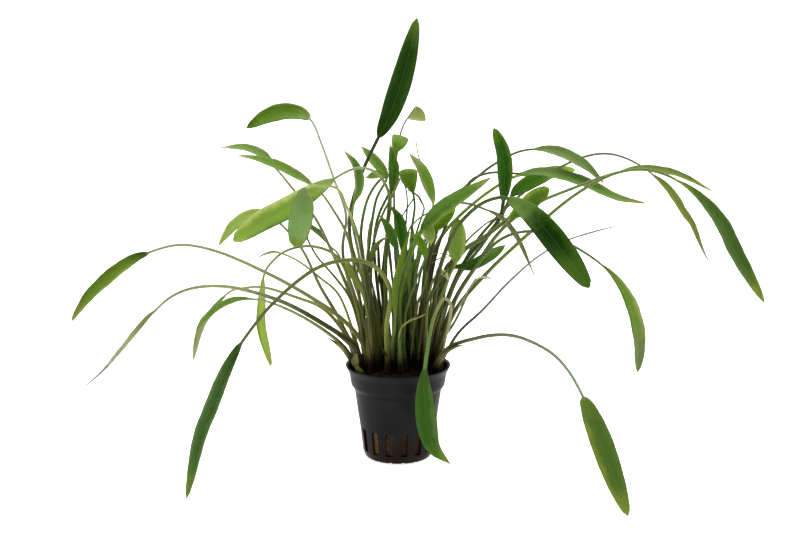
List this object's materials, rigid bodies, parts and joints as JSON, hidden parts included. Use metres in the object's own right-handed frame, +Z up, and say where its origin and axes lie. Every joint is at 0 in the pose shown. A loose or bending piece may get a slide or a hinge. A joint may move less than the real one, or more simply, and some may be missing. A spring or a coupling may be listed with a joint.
{
  "type": "potted cryptocoryne",
  "caption": "Potted water plant: thin arching stalks with lance-shaped green leaves, rising from a plug of rock wool in a small black net pot.",
  "frame": {"origin": "centre of the pot's underside, where it stands", "axes": "+Z up, +X to the right as seen from the front, the front is at -Y"},
  "size_m": [0.3553, 0.178, 0.231],
  "materials": {
    "pot_plastic": "satin",
    "rock_wool": "matte",
    "leaf_dark": "satin",
    "leaf_green": "satin",
    "leaf_pale": "satin"
  },
  "bodies": {
    "root": {"growing_medium": "rock_wool", "leaf_centre_blade": "leaf_green", "leaf_centre_bright": "leaf_pale", "leaf_centre_brown": "leaf_dark", "leaf_centre_dark_left": "leaf_dark", "leaf_centre_dark_right": "leaf_dark", "leaf_centre_light": "leaf_pale", "leaf_centre_strap": "leaf_green", "leaf_far_left": "leaf_green", "leaf_far_right": "leaf_green", "leaf_front": "leaf_dark", "leaf_hidden_centre": "leaf_dark", "leaf_hidden_left": "leaf_dark", "leaf_hidden_right": "leaf_dark", "leaf_left_broad": "leaf_pale", "leaf_left_edge": "leaf_green", "leaf_left_facing": "leaf_green", "leaf_left_hidden": "leaf_dark", "leaf_left_hook_a": "leaf_green", "leaf_left_hook_b": "leaf_green", "leaf_left_long_dark": "leaf_dark", "leaf_left_strap": "leaf_pale", "leaf_left_under": "leaf_green", "leaf_left_upper_a": "leaf_green", "leaf_left_upper_b": "leaf_green", "leaf_left_wisp": "leaf_green", "leaf_left_yellow": "leaf_pale", "leaf_pale_wisp": "leaf_pale", "leaf_right_arch_high": "leaf_green", "leaf_right_arch_low": "leaf_green", "leaf_right_behind": "leaf_pale", "leaf_right_big": "leaf_dark", "leaf_right_bright": "leaf_pale", "leaf_right_dark": "leaf_dark", "leaf_right_dark_short": "leaf_dark", "leaf_right_drooping": "leaf_green", "leaf_right_hook": "leaf_green", "leaf_right_light": "leaf_pale", "leaf_right_long": "leaf_green", "leaf_right_low": "leaf_dark", "leaf_right_olive": "leaf_green", "leaf_right_thin": "leaf_green", "leaf_right_twin": "leaf_green", "leaf_right_upright": "leaf_green", "leaf_right_wisp": "leaf_green", "leaf_short_arch": "leaf_green", "leaf_small_arch": "leaf_pale", "leaf_top_dark": "leaf_dark", "leaf_top_fan_left": "leaf_pale", "leaf_top_fan_right": "leaf_green", "leaf_top_left_a": "leaf_green", "leaf_top_left_b": "leaf_green", "leaf_top_pale": "leaf_pale", "leaf_top_small": "leaf_pale", "leaf_top_tall": "leaf_dark", "leaf_top_twisted": "leaf_green", "leaf_upper_left": "leaf_green", "leaf_young_centre": "leaf_pale", "leaf_young_left": "leaf_pale", "pot": "pot_plastic"}
  },
  "joints": []
}
